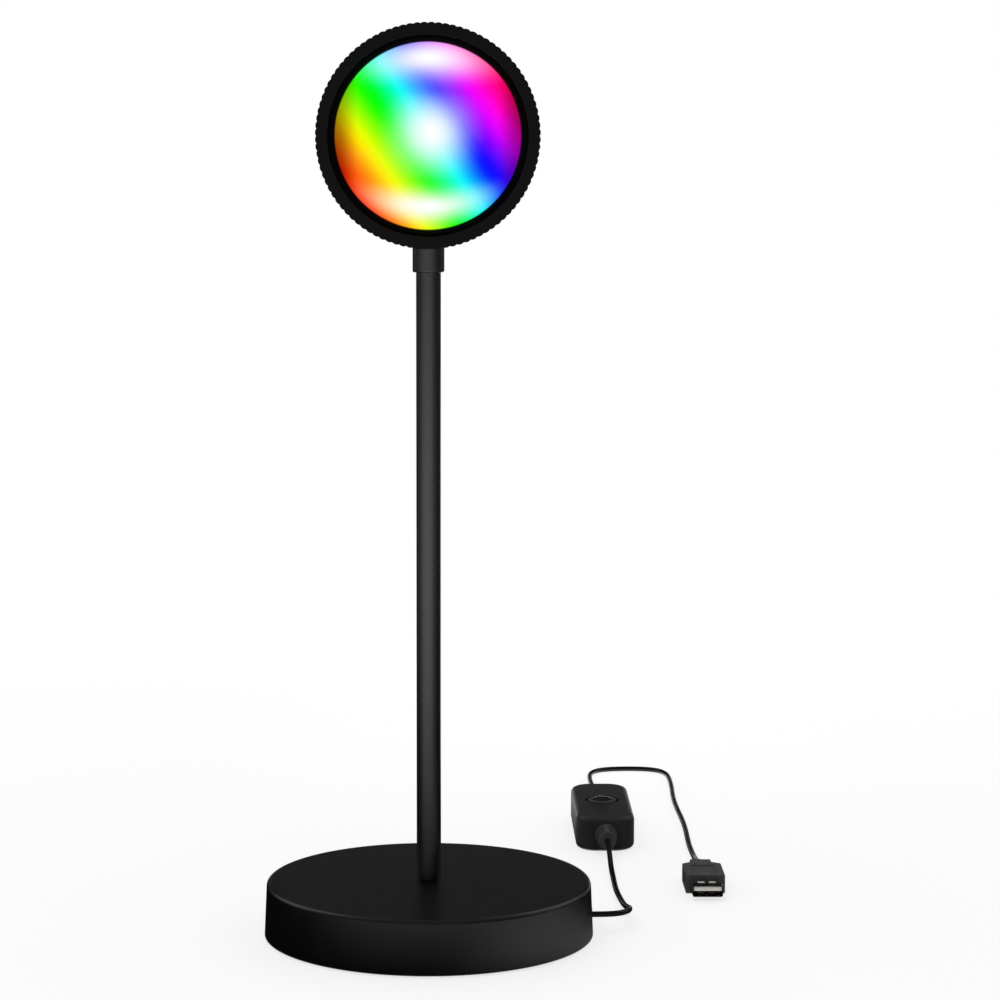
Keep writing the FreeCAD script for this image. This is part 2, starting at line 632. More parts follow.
node(turned("column_tube", *ring("column_bore", "column_radius", "base_top", "column_top")), "column_tube")

# ---------------------------------------------------------------- swivel at the top of the column
FLANGE_TOP = "column_top + spigot_flange_thick"
FLOOR_LOW = f"{FLANGE_TOP} + turn_gap"
FLOOR_TOP = f"{FLOOR_LOW} + collar_floor_thick"
WASHER_LOW = f"{FLOOR_TOP} + turn_gap/2"
WASHER_TOP = f"{WASHER_LOW} + thrust_washer_thick"
CLIP_LOW = f"{WASHER_TOP} + turn_gap/2"
CLIP_TOP = f"{CLIP_LOW} + clip_thick"

swivel_spigot = new_body("swivel_spigot")
turn(
    swivel_spigot,
    ("spigot_bore", "column_top - spigot_in_tube"),
    (STUD_RADIUS, "column_top - spigot_in_tube"),
    (STUD_RADIUS, "column_top"),
    ("column_radius", "column_top"),
    ("column_radius", FLANGE_TOP),
    ("spigot_neck", FLANGE_TOP),
    ("spigot_neck", CLIP_LOW),
    ("clip_groove", CLIP_LOW),
    ("clip_groove", CLIP_TOP),
    ("spigot_neck", CLIP_TOP),
    ("spigot_neck", "spigot_top"),
    ("spigot_bore", "spigot_top"),
)
pin_hole_sketch = new_sketch(swivel_spigot, "XY_Plane", up=FLANGE_TOP)
add_circle(pin_hole_sketch, "stop_pin_circle", "0", "stop_pin_radius + slip_gap/2")
pocket(swivel_spigot, pin_hole_sketch, "spigot_flange_thick")
node(swivel_spigot, "swivel_spigot")

stop_pin = turned(
    "swivel_stop_pin", ("0", "0"), ("stop_pin_radius", "0"),
    ("stop_pin_radius", "stop_pin_high"), ("0", "stop_pin_high"),
)
node(placed(stop_pin, across="stop_pin_circle", up="column_top"), "swivel_stop_pin")

node(
    turned("swivel_washer", *ring("spigot_neck + turn_gap", "thrust_washer_radius", WASHER_LOW, WASHER_TOP)),
    "swivel_washer",
)
circlip = new_body("swivel_circlip")
turn(circlip, *ring("clip_groove + slip_gap/2", "clip_radius", CLIP_LOW, f"{CLIP_TOP} - slip_gap/2"))
mouth_sketch = new_sketch(circlip, "XY_Plane", up=CLIP_TOP)
add_loop(mouth_sketch, [
    ("0", "-clip_mouth/2"), ("clip_radius + 1", "-clip_mouth/2"),
    ("clip_radius + 1", "clip_mouth/2"), ("0", "clip_mouth/2"),
])
pocket(circlip, mouth_sketch, "clip_thick + 1")
node(circlip, "swivel_circlip")

# The collar is one turned piece: a skirt over the tube, a floor that turns on the spigot and two ears.
fork = new_body("collar_fork")
EAR_TOP = "pivot_up + ear_radius"
turn(
    fork,
    ("collar_bore", "collar_low"),
    ("collar_radius", "collar_low", "collar_round"),
    ("collar_radius", EAR_TOP),
    ("0", EAR_TOP),
    ("0", "fork_floor"),
    ("collar_bore", "fork_floor"),
    ("collar_bore", FLOOR_TOP),
    ("spigot_neck + turn_gap", FLOOR_TOP),
    ("spigot_neck + turn_gap", FLOOR_LOW),
    ("collar_bore", FLOOR_LOW),
)
gap_sketch = new_sketch(fork, "XZ_Plane")
add_loop(gap_sketch, [
    ("-fork_half_gap", "fork_floor"), ("fork_half_gap", "fork_floor"),
    ("fork_half_gap", f"{EAR_TOP} + 1"), ("-fork_half_gap", f"{EAR_TOP} + 1"),
])
pocket(fork, gap_sketch, "2*collar_radius + 2", both_sides=True)
pivot_hole_sketch = new_sketch(fork, "YZ_Plane")
add_circle(pivot_hole_sketch, "0", "pivot_up", "pivot_screw_radius + turn_gap")
pocket(fork, pivot_hole_sketch, "2*collar_radius + 2", both_sides=True)
stop_groove_sketch = new_sketch(fork, "XZ_Plane")
add_loop(stop_groove_sketch, [
    ("stop_pin_circle - stop_pin_radius - 0.1", FLOOR_LOW),
    ("stop_pin_circle + stop_pin_radius + 0.1", FLOOR_LOW),
    ("stop_pin_circle + stop_pin_radius + 0.1", f"{FLOOR_LOW} + stop_groove_deep"),
    ("stop_pin_circle - stop_pin_radius - 0.1", f"{FLOOR_LOW} + stop_groove_deep"),
])
stop_groove = fork.newObject("PartDesign::Groove", "stop_groove")
stop_groove.Profile = stop_groove_sketch
stop_groove.ReferenceAxis = (stop_groove_sketch, ["V_Axis"])
stop_groove.setExpression("Angle", bound("stop_groove_sweep"))
stop_groove.Midplane = True
# The ears' round outline, seen from the side, trims the turned piece.
ear_outline = new_body("ear_outline")
ear_sketch = new_sketch(ear_outline, "YZ_Plane")
add_loop(ear_sketch, [
    ("-collar_radius - 1", "collar_low - 1"), ("collar_radius + 1", "collar_low - 1"),
    ("collar_radius + 1", "fork_floor"), ("ear_radius", "fork_floor"),
    ("ear_radius", EAR_TOP, "ear_radius - 0.05"), ("-ear_radius", EAR_TOP, "ear_radius - 0.05"),
    ("-ear_radius", "fork_floor"), ("-collar_radius - 1", "fork_floor"),
])
pad(ear_outline, ear_sketch, "2*collar_radius + 2", both_sides=True)
node(combined("Common", "collar_fork", fork, ear_outline), "collar_fork")

WASHER_GAP = "(fork_half_gap - knuckle_half_wide)/6"
washer_master = turned(
    "pivot_washer",
    *ring(
        "pivot_screw_radius + turn_gap", "pivot_washer_radius",
        f"knuckle_half_wide + {WASHER_GAP}", f"fork_half_gap - {WASHER_GAP}",
    ),
)
pivot = Vector(0, 0, number("pivot_up"))
copies("pivot_washers", washer_master, [Placement(pivot, Rotation(Y_AXIS, side * 90)) for side in (-1, 1)])
pivot_screw = screw(
    "pivot_screw", "pivot_screw_radius", "collar_radius - knuckle_half_slot - 0.2",
    "pivot_screw_head", "pivot_screw_head_thick",
)
collar_radius = number("collar_radius")
copies("pivot_screws", pivot_screw, [
    Placement(pivot + Vector(side * collar_radius, 0, 0), Rotation(Y_AXIS, side * 90)) for side in (-1, 1)
])

# ---------------------------------------------------------------- knuckle under the barrel
knuckle = new_body("head_knuckle")
CHEEK_LOW = "pivot_up - knuckle_radius"
cheek_sketch = new_sketch(knuckle, "YZ_Plane")
add_loop(cheek_sketch, [
    ("-knuckle_radius", CHEEK_LOW, "knuckle_radius - 0.05"),
    ("knuckle_radius", CHEEK_LOW, "knuckle_radius - 0.05"),
    ("knuckle_radius", "saddle_low + 0.2"), ("-knuckle_radius", "saddle_low + 0.2"),
])
pad(knuckle, cheek_sketch, "2*knuckle_half_wide", both_sides=True)
slot_sketch = new_sketch(knuckle, "XZ_Plane")
add_loop(slot_sketch, [
    ("-knuckle_half_slot", f"{CHEEK_LOW} - 1"), ("knuckle_half_slot", f"{CHEEK_LOW} - 1"),
    ("knuckle_half_slot", "saddle_low + 0.3"), ("-knuckle_half_slot", "saddle_low + 0.3"),
])
pocket(knuckle, slot_sketch, "2*knuckle_radius + 2", both_sides=True)
saddle_sketch = new_sketch(knuckle, "XY_Plane", up="saddle_low")
add_loop(saddle_sketch, [
    ("-saddle_half_wide", "-saddle_half_long", "saddle_round"),
    ("saddle_half_wide", "-saddle_half_long", "saddle_round"),
    ("saddle_half_wide", "saddle_half_long", "saddle_round"),
    ("-saddle_half_wide", "saddle_half_long", "saddle_round"),
])
pad(knuckle, saddle_sketch, "saddle_thick + 2.2")
seat_sketch = new_sketch(knuckle, "XZ_Plane")
add_circle(seat_sketch, "0", "head_up", "barrel_radius + stack_gap")
pocket(knuckle, seat_sketch, "2*saddle_half_long + 2", both_sides=True)
knuckle_hole_sketch = new_sketch(knuckle, "XY_Plane", up="head_up")
add_circle(knuckle_hole_sketch, "0", "0", "knuckle_half_slot + 0.05")
for side in ("saddle_screw_out", "-saddle_screw_out"):
    add_circle(knuckle_hole_sketch, side, "0", "small_screw_radius + screw_gap")
pocket(knuckle, knuckle_hole_sketch, "head_up - saddle_low + 0.3")
knuckle_pin_sketch = new_sketch(knuckle, "YZ_Plane")
add_circle(knuckle_pin_sketch, "0", "pivot_up", "pivot_screw_radius + turn_gap")
pocket(knuckle, knuckle_pin_sketch, "2*knuckle_half_wide + 2", both_sides=True)
node(knuckle, "head_knuckle")

saddle_screw = screw(
    "saddle_screw", "small_screw_radius", "saddle_screw_long", "small_screw_head", "small_screw_head_thick"
)
copies("knuckle_screws", saddle_screw, [
    Placement(Vector(side * number("saddle_screw_out"), 0, number("saddle_low")), Rotation(X_AXIS, 180))
    for side in (-1, 1)
])

# ---------------------------------------------------------------- head
# A head piece is drawn with Z along the optical axis, forwards, and Y up, then stood at the axis's height.


def on_axis(thing, label):
    """Stand a head piece on the optical axis."""
    return node(placed(thing, up="head_up", turn=FACING_FRONT), label)


LIP_BACK = "bezel_front - bezel_lip"
RETAINER_FRONT = f"{LIP_BACK} - stack_gap"
RETAINER_BACK = f"{RETAINER_FRONT} - retainer_thick"
FLANGE_FRONT = f"{RETAINER_BACK} - stack_gap"
FLANGE_BACK = f"{FLANGE_FRONT} - lens_flange_thick"
GASKET_FRONT = f"{FLANGE_BACK} - stack_gap"
GASKET_BACK = f"{GASKET_FRONT} - gasket_thick"
RIM_FRONT = GASKET_BACK
FILTER_STEP = f"{RIM_FRONT} - filter_seat_deep"
BEZEL_BACK = "bezel_front - bezel_deep"
BEZEL_BORE = "barrel_rim + thread_gap"
BARREL_BORE = "barrel_radius - barrel_wall"

bezel_blank = new_body("bezel_blank")
turn(
    bezel_blank,
    (BEZEL_BORE, BEZEL_BACK),
    ("bezel_radius + 0.1", BEZEL_BACK, "bezel_edge"),
    ("bezel_radius + 0.1", "bezel_front", "bezel_edge"),
    ("bezel_opening", "bezel_front", "bezel_edge/2"),
    ("bezel_opening", LIP_BACK),
    (BEZEL_BORE, LIP_BACK),
)


def knurl_prism(teeth, crest, deep, low, high):
    """A prism whose outline is a ring of rounded teeth: each an arc from valley to valley."""
    step = 2 * math.pi / teeth
    valley = crest - deep

    def at(radius, angle):
        return Vector(radius * math.cos(angle), radius * math.sin(angle), low)

    def tooth(index):
        start, end = at(valley, index * step), at(valley, (index + 1) * step)
        return Part.Arc(start, at(crest, (index + 0.5) * step), end).toShape()

    return Part.Face(Part.Wire([tooth(index) for index in range(teeth)])).extrude(Vector(0, 0, high - low))


knurl = doc.addObject("Part::Feature", "knurl")
knurl.Shape = knurl_prism(
    int(number("bezel_teeth")), number("bezel_radius"), number("tooth_deep"),
    number(f"{BEZEL_BACK} - 1"), number("bezel_front + 1"),
)
on_axis(combined("Common", "bezel_ring", bezel_blank, knurl), "bezel_ring")

on_axis(
    turned(
        "lens_retainer",
        ("retainer_opening", RETAINER_BACK),
        ("barrel_rim", RETAINER_BACK),
        ("barrel_rim", RETAINER_FRONT),
        ("retainer_opening + 0.8", RETAINER_FRONT),
        ("retainer_opening", f"{RETAINER_FRONT} - 0.8"),
    ),
    "lens_retainer",
)

# Plano-convex lens: a cap of a sphere on a flange.
lens_sphere = doc.addObject("Part::Sphere", "lens_sphere")
LENS_CURVE = "(lens_radius*lens_radius + lens_sagitta*lens_sagitta)/(2*lens_sagitta)"
lens_sphere.setExpression("Radius", bound(LENS_CURVE))
placed(lens_sphere, up=f"{FLANGE_FRONT} + lens_sagitta - {LENS_CURVE}")
lens_core = doc.addObject("Part::Cylinder", "lens_core")
lens_core.setExpression("Radius", bound("lens_radius"))
lens_core.setExpression("Height", bound("lens_flange_thick + lens_sagitta + 1"))
placed(lens_core, up=FLANGE_BACK)
lens_flange = doc.addObject("Part::Cylinder", "lens_flange")
lens_flange.setExpression("Radius", bound("barrel_rim - thread_gap"))
lens_flange.setExpression("Height", bound("lens_flange_thick"))
placed(lens_flange, up=FLANGE_BACK)
lens_dome = combined("Common", "lens_dome", lens_sphere, lens_core)
on_axis(combined("Fuse", "lens", lens_dome, lens_flange), "lens")

on_axis(
    turned("lens_gasket", *ring("gasket_opening", "barrel_rim - thread_gap", GASKET_BACK, GASKET_FRONT)),
    "lens_gasket",
)
on_axis(
    turned(
        "colour_filter",
        ("0", FILTER_STEP), ("filter_seat - thread_gap", FILTER_STEP),
        ("filter_seat - thread_gap", f"{FILTER_STEP} + filter_thick"), ("0", f"{FILTER_STEP} + filter_thick"),
    ),
    "colour_filter",
)
FILTER_RING_LOW = f"{FILTER_STEP} + filter_thick"
on_axis(
    turned(
        "filter_ring",
        *ring(
            "filter_ring_opening", "filter_seat - thread_gap",
            FILTER_RING_LOW, f"{FILTER_RING_LOW} + filter_ring_thick",
        ),
    ),
    "filter_ring",
)

barrel = new_body("barrel")
REFLECTOR_SEAT = "barrel_step_front + 0.5"
turn(
    barrel,
    (BARREL_BORE, "-barrel_back"),
    ("barrel_radius", "-barrel_back", "0.4"),
    ("barrel_radius", "barrel_step_back", "3"),
    ("barrel_rim", "barrel_step_front", "0.8"),
    ("barrel_rim", RIM_FRONT),
    ("filter_seat", RIM_FRONT),
    ("filter_seat", FILTER_STEP),
    ("barrel_front_bore", FILTER_STEP),
    ("barrel_front_bore", REFLECTOR_SEAT),
    ("barrel_front_bore - 2", REFLECTOR_SEAT),
    (BARREL_BORE, "barrel_step_back + barrel_wall - 1"),
)
barrel_hole_sketch = new_sketch(barrel, "XZ_Plane")
add_circle(barrel_hole_sketch, "0", "0", "wire_hole")
for side in ("saddle_screw_out", "-saddle_screw_out"):
    add_circle(barrel_hole_sketch, side, "0", "small_screw_radius + screw_gap/2")
pocket(barrel, barrel_hole_sketch, "barrel_radius + 2", forwards=True)
radial_sketch = new_sketch(barrel, "XZ_Plane")
add_circle(radial_sketch, "0", "-sink_screw_back", "sink_screw_radius + screw_gap")
radial_hole = pocket(barrel, radial_sketch, "barrel_radius + 2")
around(barrel, [radial_hole], "3")
on_axis(barrel, "barrel")

barrel_grommet = turned(
    "barrel_grommet",
    ("cord_radius + cord_gap", "head_up - barrel_radius + 0.15"),
    ("wire_hole - slip_gap", "head_up - barrel_radius + 0.15"),
    ("wire_hole - slip_gap", f"head_up - ({BARREL_BORE}) + 0.25"),
    ("wire_hole + 1.1", f"head_up - ({BARREL_BORE}) + 0.25"),
    ("wire_hole + 1.1", f"head_up - ({BARREL_BORE}) + 1.05", "0.3"),
    ("cord_radius + cord_gap", f"head_up - ({BARREL_BORE}) + 1.05"),
)
node(barrel_grommet, "barrel_grommet")

BOARD_FRONT = "-board_back"
BOARD_REAR = "-board_back - board_thick"
REFLECTOR_SLOPE_TOP = f"{REFLECTOR_SEAT} + reflector_wall"
on_axis(
    turned(
        "reflector",
        ("reflector_small", BOARD_FRONT),
        ("reflector_small + reflector_wall", BOARD_FRONT),
        ("reflector_large + 0.2", REFLECTOR_SEAT),
        ("barrel_front_bore - thread_gap", REFLECTOR_SEAT),
        ("barrel_front_bore - thread_gap", REFLECTOR_SLOPE_TOP),
        ("reflector_large", REFLECTOR_SLOPE_TOP),
    ),
    "reflector",
)

led_board = new_body("led_board")
turn(
    led_board,
    ("0", BOARD_REAR), ("board_radius", BOARD_REAR), ("board_radius", BOARD_FRONT), ("0", BOARD_FRONT),
)
board_hole_sketch = new_sketch(led_board, "XY_Plane", up=BOARD_FRONT)
for side in ("board_screw_out", "-board_screw_out"):
    add_circle(board_hole_sketch, side, "0", "small_screw_radius + screw_gap")
pocket(led_board, board_hole_sketch, "board_thick + 1")
on_axis(led_board, "led_board")

led_chip = new_body("led_chip")
chip_sketch = new_sketch(led_chip, "XY_Plane", up=BOARD_FRONT)
add_loop(chip_sketch, [
    ("-chip_side/2", "-chip_side/2"), ("chip_side/2", "-chip_side/2"),
    ("chip_side/2", "chip_side/2"), ("-chip_side/2", "chip_side/2"),
])
pad(led_chip, chip_sketch, "chip_thick")
on_axis(led_chip, "led_chip")

board_screw = screw(
    "board_screw", "small_screw_radius", "board_screw_long",
    "small_screw_head - 0.2", "small_screw_head_thick",
)
copies("led_screws", board_screw, [
    Placement(Vector(side * number("board_screw_out"), number("board_back"), number("head_up")), FACING_FRONT)
    for side in (-1, 1)
])

# The heat sink closes the barrel: plug, flange and a stack of ring fins on a core.
SINK_FLANGE_FRONT = "-barrel_back - stack_gap"
SINK_FLANGE_BACK = f"{SINK_FLANGE_FRONT} - sink_flange_thick"
SINK_BACK = f"{SINK_FLANGE_BACK} - fin_count*fin_pitch"
heat_sink = new_body("heat_sink")
turn(
    heat_sink,
    ("0", BOARD_REAR),
    (f"{BARREL_BORE} - sink_plug_gap", BOARD_REAR),
    (f"{BARREL_BORE} - sink_plug_gap", SINK_FLANGE_FRONT),
    ("barrel_radius", SINK_FLANGE_FRONT, "0.4"),
    ("barrel_radius", SINK_FLANGE_BACK, "0.4"),
    ("sink_core", SINK_FLANGE_BACK),
    ("sink_core", SINK_BACK),
    ("0", SINK_BACK),
)
fin_sketch = new_sketch(heat_sink, "XY_Plane", up=f"{SINK_FLANGE_BACK} - fin_pitch")
add_circle(fin_sketch, "0", "0", "fin_radius")
fin = pad(heat_sink, fin_sketch, "fin_thick")
fins = heat_sink.newObject("PartDesign::LinearPattern", "fins")
fins.Originals = [fin]
fins.Direction = (origin_plane(heat_sink, "Z_Axis"), [""])
fins.Reversed = True
fins.setExpression("Length", bound("fin_pitch*(fin_count - 1)"))
fins.setExpression("Occurrences", bound("fin_count"))
heat_sink.Tip = fins
tap_sketch = new_sketch(heat_sink, "XY_Plane", up=BOARD_REAR)
for side in ("board_screw_out", "-board_screw_out"):
    add_circle(tap_sketch, side, "0", "small_screw_radius + screw_gap/2")
pocket(heat_sink, tap_sketch, "board_screw_long - board_thick + 0.4")
grub_hole = new_sketch(heat_sink, "XZ_Plane")
add_circle(grub_hole, "0", "-sink_screw_back", "sink_screw_radius + screw_gap/2")
grub_pocket = pocket(heat_sink, grub_hole, "barrel_radius + 2")
around(heat_sink, [grub_pocket], "3")
on_axis(heat_sink, "heat_sink")

GRUB_OUT = "barrel_radius - 2*screw_gap"
grub = turned(
    "sink_screw",
    ("0", f"{GRUB_OUT} - sink_screw_long"), ("sink_screw_radius", f"{GRUB_OUT} - sink_screw_long"),
    ("sink_screw_radius", GRUB_OUT), ("0", GRUB_OUT),
)
copies("sink_screws", grub, [
    Placement(Vector(0, number("sink_screw_back"), number("head_up")), Rotation(Y_AXIS, angle))
    for angle in (0, 120, 240)
])

# ---------------------------------------------------------------- inline switch
# Drawn about its own middle on the table, long side along Y, then stood beside the base.
MIDDLE = "switch_high/2"
RING_SEAT = "switch_high - switch_wall - slip_gap"
RING_LOW = f"{RING_SEAT} - ring_flange_thick"
BUTTON_TOP = "switch_high + button_proud"
BUTTON_FLANGE_TOP = f"{RING_LOW} - slip_gap"
BUTTON_LOW = f"{BUTTON_FLANGE_TOP} - button_flange_thick"
PUSH_TOP = f"{BUTTON_LOW} - push_gap"
PCB_TOP = f"{PUSH_TOP} - push_high"
PCB_LOW = f"{PCB_TOP} - pcb_thick"


def at_switch(thing, label):
    """Stand a piece of the switch in its place."""
    return node(placed(thing, across="switch_x", back="switch_y"), label)


def switch_plan(sketch, inset):
    """The case seen from above, drawn in by an inset."""
    half_wide, half_long = f"switch_wide/2 - {inset}", f"switch_long/2 - {inset}"
    corner = f"switch_corner - {inset}"
    add_loop(sketch, [
        (f"-({half_wide})", f"-({half_long})", corner), (half_wide, f"-({half_long})", corner),
        (half_wide, half_long, corner), (f"-({half_wide})", half_long, corner),
    ])


BOSS_PLACES = [
    (f"{across}case_boss_x", f"{back}case_boss_y") for across in ("", "-") for back in ("", "-")
]


def case_half(name, low, high, outer_face, inner_face):
    """One half of the case: a rounded block, hollowed from the split, with bosses and end holes."""
    body = new_body(name)
    block_sketch = new_sketch(body, "XY_Plane", up=low)
    switch_plan(block_sketch, "0")
    block = pad(body, block_sketch, f"{high} - ({low})")
    face = number(outer_face)
    rounded(body, block, lambda point: abs(point.z - face) < 1e-6, "switch_edge")
    hollow_sketch = new_sketch(body, "XY_Plane", up=inner_face)
    switch_plan(hollow_sketch, "switch_wall")
    upwards = number(inner_face) < number(MIDDLE)
    pocket(body, hollow_sketch, f"{high} - ({low})", forwards=upwards)
    post_sketch = new_sketch(body, "XY_Plane", up=low if not upwards else inner_face)
    for across, back in BOSS_PLACES:
        add_circle(post_sketch, across, back, "case_boss")
    pad(body, post_sketch, f"{high} - ({low}) - switch_wall")
    end_sketch = new_sketch(body, "XZ_Plane")
    add_circle(end_sketch, "0", MIDDLE, "relief_neck + slip_gap")
    pocket(body, end_sketch, "switch_long + 2", both_sides=True)
    return body


case_bottom = case_half("switch_case_bottom", "0", f"{MIDDLE} - case_gap", "0", "switch_wall")
sink_sketch = new_sketch(case_bottom, "XY_Plane")
for across, back in BOSS_PLACES:
    add_circle(sink_sketch, across, back, "case_sink")
pocket(case_bottom, sink_sketch, "case_sink_deep", forwards=True)
bottom_hole_sketch = new_sketch(case_bottom, "XY_Plane")
for across, back in BOSS_PLACES:
    add_circle(bottom_hole_sketch, across, back, "small_screw_radius + screw_gap")
pocket(case_bottom, bottom_hole_sketch, MIDDLE, forwards=True)
pcb_post_sketch = new_sketch(case_bottom, "XY_Plane", up="switch_wall")
for across in ("pcb_wide/2 - 2", "-(pcb_wide/2 - 2)"):
    for back in ("pcb_long/2 - 2", "-(pcb_long/2 - 2)"):
        add_circle(pcb_post_sketch, across, back, "pcb_post_radius")
pad(case_bottom, pcb_post_sketch, f"{PCB_LOW} - switch_wall")
at_switch(case_bottom, "switch_case_bottom")

case_top = case_half("switch_case_top", MIDDLE, "switch_high", "switch_high", "switch_high - switch_wall")
top_hole_sketch = new_sketch(case_top, "XY_Plane", up=MIDDLE)
for across, back in BOSS_PLACES:
    add_circle(top_hole_sketch, across, back, "small_screw_radius + screw_gap/2")
pocket(case_top, top_hole_sketch, "case_screw_long - switch_high/2 + case_sink_deep + 0.5", forwards=True)
button_hole_sketch = new_sketch(case_top, "XY_Plane", up="switch_high")
add_circle(button_hole_sketch, "0", "0", "ring_radius + slip_gap")
pocket(case_top, button_hole_sketch, "switch_wall + 1")
at_switch(case_top, "switch_case_top")

case_screw = screw(
    "case_screw", "small_screw_radius", "case_screw_long", "small_screw_head", "small_screw_head_thick"
)
copies("case_screws", case_screw, [
    Placement(
        Vector(number(f"switch_x + {across}"), number(f"switch_y + {back}"), number("case_sink_deep")),
        Rotation(X_AXIS, 180),
    )
    for across, back in BOSS_PLACES
])

# Ring round the button, from below in the case's hole.
at_switch(
    turned(
        "button_ring",
        ("button_radius + button_gap", RING_LOW),
        ("ring_flange", RING_LOW),
        ("ring_flange", RING_SEAT),
        ("ring_radius", RING_SEAT),
        ("ring_radius", "switch_high - ring_drop"),
        ("button_radius + button_gap", "switch_high - ring_drop", "0.2"),
    ),
    "button_ring",
)
at_switch(
    turned(
        "button_cap",
        ("0", BUTTON_LOW),
        ("button_flange", BUTTON_LOW),
        ("button_flange", BUTTON_FLANGE_TOP),
        ("button_radius", BUTTON_FLANGE_TOP),
        ("button_radius", BUTTON_TOP, "0.5"),
        ("dome_radius + slip_gap", BUTTON_TOP),
        ("dome_radius + slip_gap", f"{BUTTON_TOP} - dome_seat"),
        ("0", f"{BUTTON_TOP} - dome_seat"),
    ),
    "button_cap",
)
# The dome is a lens-shaped cap of a sphere on a short rim.
dome_sphere = doc.addObject("Part::Sphere", "dome_sphere")
DOME_CURVE = "(dome_radius*dome_radius + dome_high*dome_high)/(2*dome_high)"
dome_sphere.setExpression("Radius", bound(DOME_CURVE))
placed(dome_sphere, up=f"{BUTTON_TOP} - 0.1 + dome_high - {DOME_CURVE}")
dome_core = doc.addObject("Part::Cylinder", "dome_core")
dome_core.setExpression("Radius", bound("dome_radius"))
dome_core.setExpression("Height", bound("dome_seat + dome_high + 1"))
placed(dome_core, up=f"{BUTTON_TOP} - dome_seat")
at_switch(combined("Common", "button_dome", dome_sphere, dome_core), "button_dome")

pcb = new_body("switch_board")
pcb_sketch = new_sketch(pcb, "XY_Plane", up=PCB_LOW)
add_loop(pcb_sketch, [
    ("-pcb_wide/2", "-pcb_long/2", "1"), ("pcb_wide/2", "-pcb_long/2", "1"),
    ("pcb_wide/2", "pcb_long/2", "1"), ("-pcb_wide/2", "pcb_long/2", "1"),
])
pad(pcb, pcb_sketch, "pcb_thick")
at_switch(pcb, "switch_board")

push_switch = new_body("push_switch")
push_sketch = new_sketch(push_switch, "XY_Plane", up=PCB_TOP)
add_loop(push_sketch, [
    ("-push_side/2", "-push_side/2", "0.6"), ("push_side/2", "-push_side/2", "0.6"),
    ("push_side/2", "push_side/2", "0.6"), ("-push_side/2", "push_side/2", "0.6"),
])
pad(push_switch, push_sketch, "push_high")
bore_sketch = new_sketch(push_switch, "XY_Plane", up=PUSH_TOP)
add_circle(bore_sketch, "0", "0", "plunger_radius + button_gap")
PLUNGER_LOW = f"{BUTTON_LOW} - plunger_long"
pocket(push_switch, bore_sketch, f"{PUSH_TOP} - ({PLUNGER_LOW}) + button_travel + push_bore_spare")
at_switch(push_switch, "push_switch")
at_switch(
    turned(
        "switch_plunger",
        ("0", PLUNGER_LOW), ("plunger_radius", PLUNGER_LOW),
        ("plunger_radius", BUTTON_LOW), ("0", BUTTON_LOW),
    ),
    "switch_plunger",
)


def switch_relief(name):
    """A slotted strain relief: Z away from the case, 0 at the case's end face."""
    body = new_body(name)
    turn(
        body,
        ("0", "-switch_wall - relief_flange_thick"),
        ("relief_flange", "-switch_wall - relief_flange_thick"),
        ("relief_flange", "-switch_wall - 3*slip_gap"),
        ("relief_neck", "-switch_wall - 3*slip_gap"),
        ("relief_neck", "slip_gap"),
        ("relief_large", "slip_gap"),
        ("relief_small", "relief_long", "0.3"),
        ("0", "relief_long"),
    )
    sketch = new_sketch(body, "XZ_Plane")
    for index in range(3):
        low = f"relief_slot_first + {index}*relief_slot_pitch"
        high = f"{low} + relief_slot"
        add_loop(sketch, [
            ("relief_spine", low), ("relief_large + 1", low),
            ("relief_large + 1", high), ("relief_spine", high),
        ])
        add_loop(sketch, [
            ("-relief_large - 1", low), ("-relief_spine", low),
            ("-relief_spine", high), ("-relief_large - 1", high),
        ])
    pocket(body, sketch, "2*relief_large + 2", both_sides=True)
    return body


for name, way, sign in (("relief_front", FACING_FRONT, "-"), ("relief_rear", FACING_BACK, "+")):
    piece = placed(
        switch_relief(name), across="switch_x", back=f"switch_y {sign} switch_long/2", up=MIDDLE, turn=way
    )
    node(piece, "switch_" + name)

# ---------------------------------------------------------------- plug
# Drawn about its own middle plane: tip towards -Y, front face of the overmould at Y 0.


def at_plug(thing, label):
    """Stand a piece of the plug in its place, its flat underside on the table."""
    return node(placed(thing, across="plug_x", back="plug_y", up="plug_thick/2"), label)


overmould = new_body("plug_overmould")
mould_sketch = new_sketch(overmould, "XY_Plane", up="-plug_thick/2")
SHOULDER = "plug_body_long + plug_shoulder_long"
MOULD_BACK = f"{SHOULDER} + plug_neck_long"
add_loop(mould_sketch, [
    ("-plug_wide/2", "0"), ("plug_wide/2", "0"), ("plug_wide/2", "plug_body_long"),
    ("plug_neck_wide/2", SHOULDER), ("plug_neck_wide/2", MOULD_BACK),
    ("-plug_neck_wide/2", MOULD_BACK), ("-plug_neck_wide/2", SHOULDER), ("-plug_wide/2", "plug_body_long"),
])
mould_pad = pad(overmould, mould_sketch, "plug_thick")
half_plug = number("plug_thick/2")
rounded(overmould, mould_pad, lambda point: point.z > half_plug - 1e-6, "plug_edge")
overmould_tip = overmould.Tip
rounded(overmould, overmould_tip, lambda point: point.z < 1e-6 - half_plug, "plug_edge")
panel_sketch = new_sketch(overmould, "XY_Plane", up="plug_thick/2")
add_loop(panel_sketch, [
    ("-panel_wide/2", "panel_from_front", "0.4"), ("panel_wide/2", "panel_from_front", "0.4"),
    ("panel_wide/2", "panel_from_front + panel_long", "0.4"),
    ("-panel_wide/2", "panel_from_front + panel_long", "0.4"),
])
for side in ("dimple_out", "-dimple_out"):
    add_circle(panel_sketch, side, "dimple_back", "dimple_radius")
pocket(overmould, panel_sketch, "panel_deep")
at_plug(overmould, "plug_overmould")

